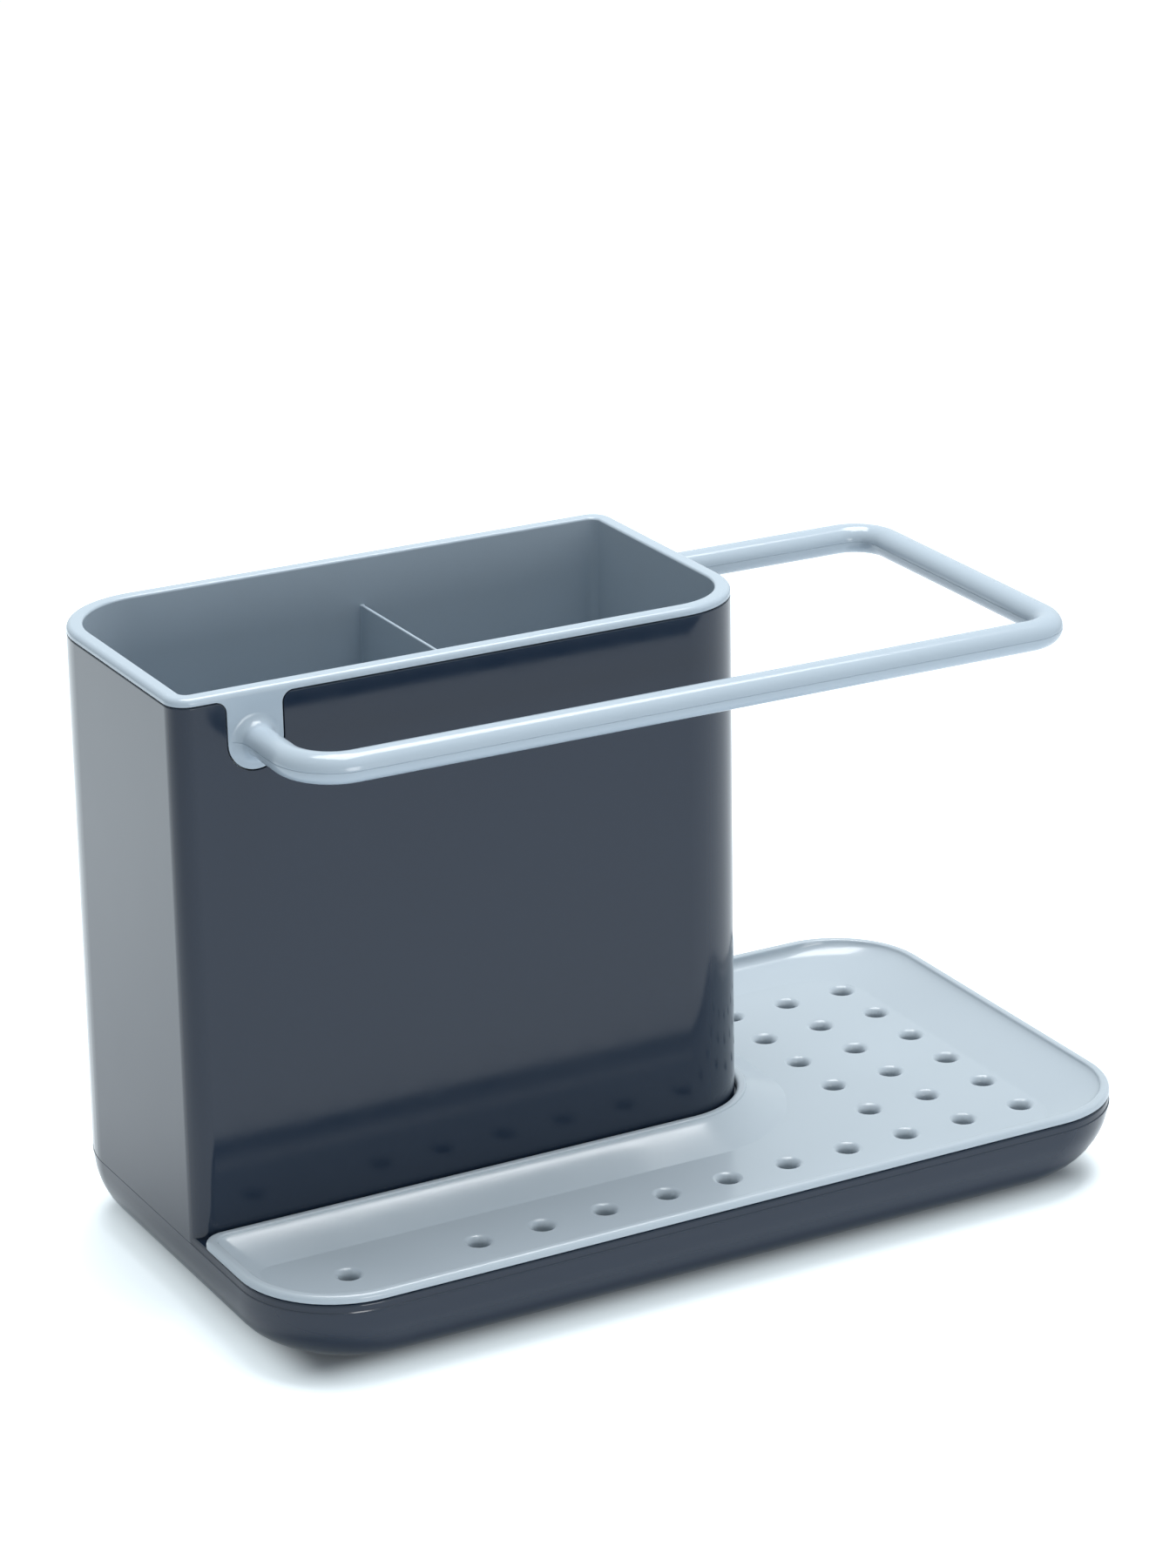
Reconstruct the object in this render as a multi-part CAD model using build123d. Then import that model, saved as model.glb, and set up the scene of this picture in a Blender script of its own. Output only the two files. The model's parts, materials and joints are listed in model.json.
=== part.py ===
from build123d import *
import os

# Kitchen sink caddy: a moulded housing with a tall sleeve on a low basin, a lift-out
# liner with a cloth rail, and a drip tray. Millimetres, +X right, +Y back, +Z up.
# The origin is at the middle of the footprint, at the height that the feet stand on.

# Basin
BASIN_WIDTH = 204.4
BASIN_DEPTH = 114.2
BASIN_CORNER_RADIUS = 21.5
BASIN_BOTTOM_RADIUS = 14.0
BASIN_HEIGHT = 16.97
BASIN_PARTING_HEIGHT = 15.1
BASIN_WALL = 1.6
RIM_EDGE_RADIUS = 0.5
FOOT_PROUD = 1.5

# Sleeve, by its outline at the top
SLEEVE_TOP_Z = 131.5
SLEEVE_FROM_RIGHT = 71.6
SLEEVE_FROM_FRONT = 42.45
SLEEVE_BACK_INSET = 2.85
SLEEVE_DRAFT_RUN = 0.7
SLEEVE_FOOT_STEP = 0.1
SLEEVE_WALL = 1.6
SLEEVE_TAPER = 0.4
SLEEVE_SHARP_RADIUS = 4.6
SLEEVE_FRONT_ROUND_RADIUS = 18.0
SLEEVE_BACK_ROUND_RADIUS = 20.8

# Liner
LINER_GAP = 0.3
LINER_WALL = 1.5
LINER_TAPER = 0.8
LINER_FLOOR_GAP = 1.0
LINER_RIM_HEIGHT = 1.8
SEAT_GAP = 0.25
SEAT_RING_INSET = 0.9
LINER_RIM_EDGE_RADIUS = 0.7
DIVIDER_FROM_RIGHT = 59.8
DIVIDER_THICKNESS = 2.0
DIVIDER_BELOW_RIM = 10.5

# Tabs of the liner, in slots of the sleeve
TAB_WIDTH = 11.8
TAB_DROP = 14.75
TAB_SHOULDER_RADIUS = 2.5
FRONT_TAB_FROM_LEFT = 17.15
RIGHT_TAB_FROM_BACK = 15.8

# Cloth rail
RAIL_DIAMETER = 6.4
RAIL_BELOW_TOP = 8.5
RAIL_FRONT_REACH = 23.4
RAIL_RIGHT_REACH = 59.0
RAIL_FRONT_BEND = 10.0
RAIL_END_BEND = 8.3
RAIL_FLARE_LENGTH = 2.2
RAIL_FLARE_RADIUS = 5.2

# Drip tray
TRAY_RIM_INSET = 0.1
TRAY_SLEEVE_GAP = 0.5
TRAY_LIP_WIDTH = 2.0
TRAY_LIP_HEIGHT = 1.93
TRAY_LIP_ROUND = 0.6
TRAY_FLOOR_DEPTH = 4.9
TRAY_THICKNESS = 1.5
TRAY_SEAT_CLEARANCE = 0.3
TRAY_SMALL_CORNER_RADIUS = 4.6
TRAY_COVE_FRONT = 4.0
TRAY_COVE_RIGHT = 15.0
TRAY_COVE_BACK = 10.0
TRAY_COVE_LEFT = 5.0
TRAY_COVE_SLEEVE = 9.0
TRAY_LEDGE_WIDTH = 1.6

# Drain holes of the tray, counted from its front right corner
HOLE_PITCH = 14.67
HOLE_FROM_RIGHT = 20.4
HOLE_FROM_FRONT = 19.35
HOLE_RADIUS = 2.1
HOLE_MOUTH_RADIUS = 3.4
HOLE_MOUTH_DEPTH = 1.0
HOLE_LEAST_FROM_EDGE = 15.0

# Feet
FOOT_RADIUS = 6.0
FOOT_SEAT_DEPTH = 0.7
FOOT_FROM_SIDE = 25.0
FOOT_EDGE_CHAMFER = 0.4

# One overrun serves all cuts
OVERRUN = 5.0

# Places that follow from the sizes above
basin_left = -BASIN_WIDTH / 2
basin_right = BASIN_WIDTH / 2
basin_front = -BASIN_DEPTH / 2
basin_back = BASIN_DEPTH / 2
basin_bottom = FOOT_PROUD
rim_z = basin_bottom + BASIN_HEIGHT
sleeve_left = basin_left + SLEEVE_DRAFT_RUN
sleeve_right = basin_right - SLEEVE_FROM_RIGHT
sleeve_back = basin_back - SLEEVE_BACK_INSET
sleeve_front = basin_front + SLEEVE_FROM_FRONT
parting_z = basin_bottom + BASIN_PARTING_HEIGHT
rail_z = SLEEVE_TOP_Z - RAIL_BELOW_TOP
front_tab_x = sleeve_left + FRONT_TAB_FROM_LEFT
right_tab_y = sleeve_back - RIGHT_TAB_FROM_BACK
tray_top_z = rim_z + TRAY_LIP_HEIGHT
tray_floor_z = tray_top_z - TRAY_FLOOR_DEPTH


def draft_at(z):
    """How far the sleeve's front and right faces stand out at height z, from their top."""
    return SLEEVE_DRAFT_RUN * (SLEEVE_TOP_Z - z) / (SLEEVE_TOP_Z - parting_z)


def rounded_outline(corners, z):
    """A face at height z with square turns, each corner given as (x, y, radius)."""
    edges = []
    count = len(corners)
    stops = []
    for i, (x, y, radius) in enumerate(corners):
        vertex = Vector(x, y, z)
        before = Vector(corners[i - 1][0], corners[i - 1][1], z)
        after = Vector(corners[(i + 1) % count][0], corners[(i + 1) % count][1], z)
        way_in = (vertex - before).normalized()
        way_out = (after - vertex).normalized()
        centre = vertex + (way_out - way_in) * radius
        middle = centre + (vertex - centre).normalized() * radius
        stops.append((vertex - way_in * radius, middle, vertex + way_out * radius))
    for i, (start, middle, end) in enumerate(stops):
        edges.append(Edge.make_three_point_arc(start, middle, end))
        edges.append(Edge.make_line(end, stops[(i + 1) % count][0]))
    return Face(Wire(edges))


def basin_form(inset, top):
    """The basin's form drawn in by inset at the sides and bottom, carried up to top."""
    corners = [
        (basin_left + inset, basin_front + inset, BASIN_CORNER_RADIUS - inset),
        (basin_right - inset, basin_front + inset, BASIN_CORNER_RADIUS - inset),
        (basin_right - inset, basin_back - inset, BASIN_CORNER_RADIUS - inset),
        (basin_left + inset, basin_back - inset, SLEEVE_BACK_ROUND_RADIUS - inset),
    ]
    bottom = basin_bottom + inset
    form = extrude(rounded_outline(corners, bottom), top - bottom)
    return fillet(form.edges().group_by(Axis.Z)[0], BASIN_BOTTOM_RADIUS - inset)


def sleeve_radii(inset):
    """The radii of the sleeve's corners, drawn in by inset, from the front left one on."""
    return [
        SLEEVE_SHARP_RADIUS - inset,
        SLEEVE_FRONT_ROUND_RADIUS - inset,
        SLEEVE_SHARP_RADIUS - inset,
        SLEEVE_BACK_ROUND_RADIUS - inset,
    ]


def sleeve_outline(inset, z):
    """The sleeve's top outline drawn in by inset, at height z."""
    corners = [
        (sleeve_left + inset, sleeve_front + inset),
        (sleeve_right - inset, sleeve_front + inset),
        (sleeve_right - inset, sleeve_back - inset),
        (sleeve_left + inset, sleeve_back - inset),
    ]
    rounded = [(x, y, radius) for (x, y), radius in zip(corners, sleeve_radii(inset))]
    return rounded_outline(rounded, z)


def tapered_column(low, low_z, high, high_z, radii):
    """A column with flat sides between the heights low_z and high_z.

    low and high give the left, front, right and back sides, radii the corners from the
    front left one on.
    """
    rings = []
    for z, (left, front, right, back) in ((low_z, low), (high_z, high)):
        rings.append([(left, front, z), (right, front, z), (right, back, z), (left, back, z)])
    bottom, top = rings
    sides = [(bottom[i - 1], bottom[i], top[i], top[i - 1]) for i in range(len(bottom))]
    faces = [make_face(Polyline(*ring, close=True)) for ring in [bottom, top, *sides]]
    column = Solid(Shell([face.face() for face in faces]))
    for start, end, radius in zip(bottom, top, radii):
        middle = (Vector(*start) + Vector(*end)) / 2
        edge = min(column.edges(), key=lambda each: (each.center() - middle).length)
        column = fillet(edge, radius).solid()
    return column


def sleeve_column():
    """The sleeve's outer form, nearly flush with the basin at the left and the back."""
    run = SLEEVE_DRAFT_RUN
    step = SLEEVE_FOOT_STEP
    return tapered_column(
        (basin_left + step, sleeve_front - run, sleeve_right + run, basin_back - step),
        parting_z,
        (sleeve_left, sleeve_front, sleeve_right, sleeve_back),
        SLEEVE_TOP_Z,
        sleeve_radii(0),
    )


def inner_column(inset, taper, low_z, high_z):
    """A column inside the sleeve that narrows downwards, for its hollow and the liner."""
    sides = []
    for drawn_in in (inset + taper, inset):
        sides.append(
            (
                sleeve_left + drawn_in,
                sleeve_front + drawn_in,
                sleeve_right - drawn_in,
                sleeve_back - drawn_in,
            )
        )
    return tapered_column(sides[0], low_z, sides[1], high_z, sleeve_radii(inset))


def tab_outline(width, drop, shoulder):
    """The U-shaped outline of a tab or slot, upright in XZ, its top at height zero."""
    half = width / 2
    low = half - drop
    start = (-half - shoulder, 0)
    edges = [
        Line((start[0], OVERRUN), start),
        RadiusArc(start, (-half, -shoulder), shoulder),
        Line((-half, -shoulder), (-half, low)),
        ThreePointArc((-half, low), (0, -drop), (half, low)),
        Line((half, low), (half, -shoulder)),
        RadiusArc((half, -shoulder), (half + shoulder, 0), shoulder),
        Line((half + shoulder, 0), (half + shoulder, OVERRUN)),
        Line((half + shoulder, OVERRUN), (start[0], OVERRUN)),
    ]
    return make_face(edges)


def tab_prisms(outline, top, thickness):
    """Two columns of one outline, through the front wall and the right wall."""
    front = Plane(
        origin=(front_tab_x, sleeve_front + thickness, top), x_dir=(1, 0, 0), z_dir=(0, -1, 0)
    )
    right = Plane(
        origin=(sleeve_right - thickness, right_tab_y, top), x_dir=(0, 1, 0), z_dir=(1, 0, 0)
    )
    length = thickness + OVERRUN
    return [extrude(front * outline, length), extrude(right * outline, length)]


def make_outer_housing():
    """The basin and the sleeve, one moulding with a slot for each tab."""
    basin = basin_form(0, rim_z)
    basin = fillet(basin.edges().group_by(Axis.Z)[-1], RIM_EDGE_RADIUS)
    ledge_right = sleeve_right + draft_at(rim_z) + TRAY_LEDGE_WIDTH
    ledge_front = sleeve_front - draft_at(rim_z) - TRAY_LEDGE_WIDTH
    ledge_radius = SLEEVE_FRONT_ROUND_RADIUS + draft_at(rim_z) + TRAY_LEDGE_WIDTH
    ledge = rounded_outline(
        [
            (basin_left - OVERRUN, ledge_front, OVERRUN / 2),
            (ledge_right, ledge_front, ledge_radius),
            (ledge_right, basin_back + OVERRUN, OVERRUN / 2),
            (basin_left - OVERRUN, basin_back + OVERRUN, OVERRUN / 2),
        ],
        0,
    )
    sleeve_room = extrude(ledge, rim_z + 2 * OVERRUN)
    basin_hollow = basin_form(BASIN_WALL, rim_z + OVERRUN) - sleeve_room
    housing = basin - basin_hollow
    housing += sleeve_column()
    low_z = basin_bottom + BASIN_WALL
    hollow = inner_column(SLEEVE_WALL, SLEEVE_TAPER, low_z, SLEEVE_TOP_Z + OVERRUN)
    hollow &= basin_form(BASIN_WALL, SLEEVE_TOP_Z + 2 * OVERRUN)
    housing -= hollow
    slot = tab_outline(
        TAB_WIDTH + 2 * SEAT_GAP, TAB_DROP + SEAT_GAP, TAB_SHOULDER_RADIUS - SEAT_GAP
    )
    housing -= tab_prisms(slot, SLEEVE_TOP_Z, SLEEVE_WALL + LINER_GAP)
    for x, y in foot_places().values():
        housing -= Pos(x, y, basin_bottom) * Cylinder(
            FOOT_RADIUS, FOOT_SEAT_DEPTH, align=(Align.CENTER, Align.CENTER, Align.MIN)
        )
    return housing


def make_inner_liner():
    """The lift-out cup with its rim, divider and the two tabs that carry the rail."""
    low_z = basin_bottom + BASIN_WALL + LINER_FLOOR_GAP
    wall_top = SLEEVE_WALL + LINER_GAP
    cup = inner_column(wall_top, LINER_TAPER, low_z, SLEEVE_TOP_Z + SEAT_GAP)
    cup &= basin_form(BASIN_WALL + LINER_FLOOR_GAP, SLEEVE_TOP_Z + OVERRUN)
    room_inset = wall_top + LINER_WALL
    room = inner_column(room_inset, LINER_TAPER, low_z + LINER_WALL, SLEEVE_TOP_Z + OVERRUN)
    room &= basin_form(BASIN_WALL + LINER_FLOOR_GAP + LINER_WALL, SLEEVE_TOP_Z + 2 * OVERRUN)
    reach = sleeve_column() + extrude(sleeve_outline(0, SLEEVE_TOP_Z), SEAT_GAP)
    outline = tab_outline(TAB_WIDTH, TAB_DROP + SEAT_GAP, TAB_SHOULDER_RADIUS)
    for prism in tab_prisms(outline, SLEEVE_TOP_Z + SEAT_GAP, room_inset):
        cup += prism & reach
    cup += extrude(sleeve_outline(SEAT_RING_INSET, SLEEVE_TOP_Z), SEAT_GAP)
    rim_low = SLEEVE_TOP_Z + SEAT_GAP
    cup += extrude(sleeve_outline(0, rim_low), LINER_RIM_HEIGHT - SEAT_GAP)
    shell = cup - room
    shell = fillet(shell.edges().group_by(Axis.Z)[-1], LINER_RIM_EDGE_RADIUS)
    divider_low = low_z + LINER_WALL / 2
    divider = Box(
        DIVIDER_THICKNESS,
        sleeve_back - sleeve_front,
        SLEEVE_TOP_Z + LINER_RIM_HEIGHT - DIVIDER_BELOW_RIM - divider_low,
        align=(Align.CENTER, Align.CENTER, Align.MIN),
    )
    divider_ends = divider.edges().filter_by(Axis.Y).group_by(Axis.Z)[-1]
    divider = fillet(divider_ends, DIVIDER_THICKNESS / 3)
    middle_y = (sleeve_front + sleeve_back) / 2
    divider = Pos(sleeve_right - DIVIDER_FROM_RIGHT, middle_y, divider_low) * divider
    divider &= cup
    return shell + divider


def rail_root_planes():
    """The planes on the two tabs' faces where the rail starts, facing outwards."""
    stand_out = draft_at(rail_z - RAIL_FLARE_RADIUS)
    front = Plane(
        origin=(front_tab_x, sleeve_front - stand_out, rail_z), x_dir=(1, 0, 0), z_dir=(0, -1, 0)
    )
    right = Plane(
        origin=(sleeve_right + stand_out, right_tab_y, rail_z), x_dir=(0, 1, 0), z_dir=(1, 0, 0)
    )
    return [front, right]


def rail_flare():
    """The hollow-curved root of the rail, wide where it stands on its tab."""
    radius = RAIL_DIAMETER / 2
    profile = make_face(
        [
            Line((0, 0), (RAIL_FLARE_RADIUS, 0)),
            EllipticalCenterArc(
                (RAIL_FLARE_RADIUS, RAIL_FLARE_LENGTH),
                RAIL_FLARE_RADIUS - radius,
                RAIL_FLARE_LENGTH,
                start_angle=180,
                arc_size=90,
            ),
            Line((radius, RAIL_FLARE_LENGTH), (0, RAIL_FLARE_LENGTH)),
            Line((0, RAIL_FLARE_LENGTH), (0, 0)),
        ]
    )
    return revolve(Plane.XZ * profile, Axis.Z)


def make_cloth_rail():
    """The round rail with its roots, from the front tab round the corner to the right tab."""
    front, right = rail_root_planes()
    start = front.origin + front.z_dir * RAIL_FLARE_LENGTH
    end = right.origin + right.z_dir * RAIL_FLARE_LENGTH
    front_y = sleeve_front - RAIL_FRONT_REACH
    right_x = sleeve_right + RAIL_RIGHT_REACH
    path = FilletPolyline(
        [
            start,
            (front_tab_x, front_y, rail_z),
            (right_x, front_y, rail_z),
            (right_x, right_tab_y, rail_z),
            end,
        ],
        radius=[RAIL_FRONT_BEND, RAIL_END_BEND, RAIL_END_BEND],
    )
    section = Plane(origin=start, z_dir=front.z_dir) * Circle(RAIL_DIAMETER / 2)
    rail = sweep(section, path=path)
    for place in rail_root_planes():
        rail += place * rail_flare()
    return rail


def tray_outline(outer, sleeve_side, z, coves=0, small_radius=TRAY_SMALL_CORNER_RADIUS):
    """The tray's L outline at height z.

    outer is the inset from the basin's outline, sleeve_side the distance from the sleeve's
    outline at the basin rim, and coves the share of each cove's width by which it draws in.
    """
    left = basin_left + outer + TRAY_COVE_LEFT * coves
    right = basin_right - outer - TRAY_COVE_RIGHT * coves
    front = basin_front + outer + TRAY_COVE_FRONT * coves
    back = basin_back - outer - TRAY_COVE_BACK * coves
    inner_x = sleeve_right + draft_at(rim_z) + sleeve_side + TRAY_COVE_SLEEVE * coves
    inner_y = sleeve_front - draft_at(rim_z) - sleeve_side - TRAY_COVE_SLEEVE * coves
    round_radius = BASIN_CORNER_RADIUS - outer
    inner_radius = SLEEVE_FRONT_ROUND_RADIUS + inner_x - sleeve_right
    corners = [
        (left, front, round_radius),
        (right, front, round_radius),
        (right, back, round_radius),
        (inner_x, back, small_radius),
        (inner_x, inner_y, inner_radius),
        (left, inner_y, small_radius),
    ]
    return rounded_outline(corners, z)


COVE_STEP_SHARES = (0, 0.25, 0.5, 0.75, 1)


def tray_dish(outer, sleeve_side, top, bottom, small_radius):
    """A dish with hollow-curved sides from the top level down to a flat floor."""
    sections = []
    for share in COVE_STEP_SHARES:
        drawn_in = 1 - (1 - share**2) ** (1 / 2)
        z = top + (bottom - top) * share
        sections.append(tray_outline(outer, sleeve_side, z, drawn_in, small_radius))
    return loft(sections[::-1], ruled=True)


def make_drip_tray():
    """The L-shaped tray: a lip on the basin's rim, curved sides and a drained floor."""
    lip_low = rim_z + SEAT_GAP
    lip = extrude(
        tray_outline(TRAY_RIM_INSET, TRAY_SLEEVE_GAP, lip_low), TRAY_LIP_HEIGHT - SEAT_GAP
    )
    lip = fillet(lip.edges().group_by(Axis.Z)[-1], TRAY_LIP_ROUND)
    seat_outer = BASIN_WALL + TRAY_SEAT_CLEARANCE
    seat_inner = TRAY_LEDGE_WIDTH + TRAY_SEAT_CLEARANCE
    body = tray_dish(
        seat_outer, seat_inner, lip_low, tray_floor_z - TRAY_THICKNESS, TRAY_SMALL_CORNER_RADIUS
    )
    ring = extrude(tray_outline(SEAT_RING_INSET, SEAT_RING_INSET, rim_z), SEAT_GAP)
    tray = lip + body + ring
    tray -= tray_dish(
        TRAY_RIM_INSET + TRAY_LIP_WIDTH,
        TRAY_SLEEVE_GAP + TRAY_LIP_WIDTH,
        tray_top_z,
        tray_floor_z,
        TRAY_SMALL_CORNER_RADIUS - TRAY_LIP_WIDTH / 2,
    )
    drill = Cylinder(
        HOLE_RADIUS, 2 * OVERRUN, align=(Align.CENTER, Align.CENTER, Align.CENTER)
    ) + Cone(
        HOLE_RADIUS,
        HOLE_MOUTH_RADIUS,
        HOLE_MOUTH_DEPTH,
        align=(Align.CENTER, Align.CENTER, Align.MAX),
    )
    return tray - [Pos(x, y, tray_floor_z) * drill for x, y in hole_places()]


def places_along(length, first):
    """How many hole places fit in a length whose first place is at the distance first."""
    return int((length - first - HOLE_LEAST_FROM_EDGE) / HOLE_PITCH) + 1


def hole_places():
    """The drain holes: a block in the right part, and one long row along the front.

    The last place but one of the long row stays bare.
    """
    first_x = basin_right - HOLE_FROM_RIGHT
    first_y = basin_front + HOLE_FROM_FRONT
    columns = places_along(SLEEVE_FROM_RIGHT, HOLE_FROM_RIGHT)
    row_places = places_along(BASIN_WIDTH, HOLE_FROM_RIGHT)
    places = [
        (first_x - HOLE_PITCH * column, first_y + HOLE_PITCH * row)
        for column in range(columns)
        for row in range(places_along(BASIN_DEPTH, HOLE_FROM_FRONT))
    ]
    places += [
        (first_x - HOLE_PITCH * place, first_y)
        for place in range(columns, row_places)
        if place != row_places - 2
    ]
    return places


def foot_places():
    """The middle of each foot, by name."""
    x = basin_right - FOOT_FROM_SIDE
    y = basin_back - FOOT_FROM_SIDE
    return {
        "foot_front_left": (-x, -y),
        "foot_front_right": (x, -y),
        "foot_back_left": (-x, y),
        "foot_back_right": (x, y),
    }


def make_foot(x, y):
    """A rubber disc, seated in the basin's underside."""
    foot = Pos(x, y, 0) * Cylinder(
        FOOT_RADIUS, FOOT_PROUD + FOOT_SEAT_DEPTH, align=(Align.CENTER, Align.CENTER, Align.MIN)
    )
    return chamfer(foot.edges().group_by(Axis.Z)[0], FOOT_EDGE_CHAMFER)


def main():
    """Build every piece and write it to its own file."""
    pieces = {
        "outer_housing": make_outer_housing(),
        "inner_liner": make_inner_liner(),
        "cloth_rail": make_cloth_rail(),
        "drip_tray": make_drip_tray(),
    }
    for name, (x, y) in foot_places().items():
        pieces[name] = make_foot(x, y)
    os.makedirs("parts", exist_ok=True)
    for name, piece in pieces.items():
        export_step(piece, f"parts/{name}.step")


main()
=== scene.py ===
"""Kitchen sink caddy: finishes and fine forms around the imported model, in metres."""
import json
import logging
import math
from dataclasses import astuple, dataclass
from enum import Enum

import bmesh
import bpy
from mathutils import Matrix, Vector

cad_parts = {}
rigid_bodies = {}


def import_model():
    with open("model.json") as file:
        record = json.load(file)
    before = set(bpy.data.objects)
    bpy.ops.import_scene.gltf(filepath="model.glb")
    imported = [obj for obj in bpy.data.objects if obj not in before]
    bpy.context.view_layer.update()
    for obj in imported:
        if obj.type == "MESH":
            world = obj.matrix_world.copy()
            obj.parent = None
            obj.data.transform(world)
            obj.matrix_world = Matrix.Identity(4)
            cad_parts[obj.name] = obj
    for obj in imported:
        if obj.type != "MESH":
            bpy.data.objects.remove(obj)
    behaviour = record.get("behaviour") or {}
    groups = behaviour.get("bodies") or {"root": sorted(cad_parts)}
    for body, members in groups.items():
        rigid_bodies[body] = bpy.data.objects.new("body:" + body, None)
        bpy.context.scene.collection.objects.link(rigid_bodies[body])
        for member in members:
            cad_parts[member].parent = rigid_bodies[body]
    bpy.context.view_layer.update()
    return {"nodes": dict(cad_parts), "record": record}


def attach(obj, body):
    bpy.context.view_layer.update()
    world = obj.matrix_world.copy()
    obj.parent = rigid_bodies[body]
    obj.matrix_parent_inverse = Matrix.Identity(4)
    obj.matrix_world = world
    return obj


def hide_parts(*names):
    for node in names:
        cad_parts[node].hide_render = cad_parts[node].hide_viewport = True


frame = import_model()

Colour = tuple[float, float, float, float]
Place = tuple[float, float, float]
Stops = list[tuple[float, float]]
Form = bmesh.types.BMesh
Ring = list[bmesh.types.BMVert]
Mesh = bpy.types.Mesh
Piece = bpy.types.Object
Tree = bpy.types.NodeTree
Socket = bpy.types.NodeSocket

MM = 0.001
# In millimetres: a width too small to see, and how far a cutting form runs past a solid.
HAIR = 0.01
OVERRUN = 2.0
CORNER_STEPS = 16
SHARP_DEGREES = 34.0
WHITE: Colour = (1.0, 1.0, 1.0, 1.0)
SPAN = ("From Min", "From Max", "To Min", "To Max")
REPLACED = {"outer_housing", "inner_liner", "cloth_rail", "drip_tray"}
LOG = logging.getLogger("caddy")


@dataclass(frozen=True)
class PhotoCamera:
    """The camera of the photograph, as a direction, a distance and a principal point."""

    azimuth: float = -30.23
    elevation: float = 22.117
    roll: float = -0.171
    distance_mm: float = 954.11
    target_mm: Place = (17.485, -16.669, 63.5)
    focal_px: float = 5222.87
    centre_px: tuple[float, float] = (819.377, 1061.051)
    image_px: tuple[int, int] = (1350, 1800)
    sensor_mm: float = 36.0
    clip_m: tuple[float, float] = (0.05, 20.0)

    def axes(self) -> Matrix:
        """Work out the camera's right, up and back directions.

        Returns:
            A 3 by 3 matrix with the directions as its columns.
        """
        turn = math.radians(self.azimuth)
        lift = math.radians(self.elevation)
        lean = math.radians(self.roll)
        back = Vector(
            (math.sin(turn) * math.cos(lift), -math.cos(turn) * math.cos(lift), math.sin(lift))
        )
        level = Vector((math.cos(turn), math.sin(turn), 0.0))
        upright = back.cross(level)
        right = level * math.cos(lean) + upright * math.sin(lean)
        up = upright * math.cos(lean) - level * math.sin(lean)
        return Matrix((right, up, back)).transposed()

    def build(self) -> Piece:
        """Create the camera and make it the scene's camera.

        Returns:
            The camera object.
        """
        data = bpy.data.cameras.new("photo_camera")
        data.sensor_width = self.sensor_mm
        data.sensor_fit = "AUTO"
        width, height = self.image_px
        longest = max(width, height)
        data.lens = self.focal_px / longest * self.sensor_mm
        data.shift_x = (width / 2 - self.centre_px[0]) / longest
        data.shift_y = (self.centre_px[1] - height / 2) / longest
        data.clip_start, data.clip_end = self.clip_m
        axes = self.axes()
        place = Vector(self.target_mm) + axes.col[2] * self.distance_mm
        camera = bpy.data.objects.new("photo_camera", data)
        camera.matrix_world = Matrix.Translation(place * MM) @ axes.to_4x4()
        bpy.context.scene.collection.objects.link(camera)
        bpy.context.scene.camera = camera
        return camera


@dataclass(frozen=True)
class SoftBox:
    """A square studio lamp that faces a point.

    Attributes:
        name: The lamp's name.
        place: Where it hangs, in metres.
        aim: The point that it faces, in metres.
        size: The length of its sides, in metres.
        power: Its power in watts.
    """

    name: str
    place: Place
    aim: Place
    size: float
    power: float

    def build(self) -> Piece:
        """Hang the lamp and turn it to its aim.

        Returns:
            The lamp object.
        """
        data = bpy.data.lights.new(self.name, "AREA")
        data.shape = "SQUARE"
        data.size = self.size
        data.energy = self.power
        lamp = bpy.data.objects.new(self.name, data)
        lamp.location = self.place
        facing = Vector(self.aim) - Vector(self.place)
        lamp.rotation_euler = facing.to_track_quat("-Z", "Y").to_euler()
        bpy.context.scene.collection.objects.link(lamp)
        return lamp


@dataclass(frozen=True)
class Glow:
    """What a rounded patch of the floor adds to its own colour for some rays.

    Attributes:
        middle: The patch's middle, in metres.
        half: Half of its sides, in metres.
        fade: The distance over which it changes outside its sides, in metres.
        inside: The strength inside the patch.
        outside: The strength far from it.
    """

    middle: tuple[float, float]
    half: tuple[float, float]
    fade: float
    inside: float
    outside: float


def set_inputs(node: bpy.types.Node, values: dict[str, float | Colour]) -> None:
    """Set a node's inputs by their names."""
    for name, value in values.items():
        node.inputs[name].default_value = value


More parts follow.
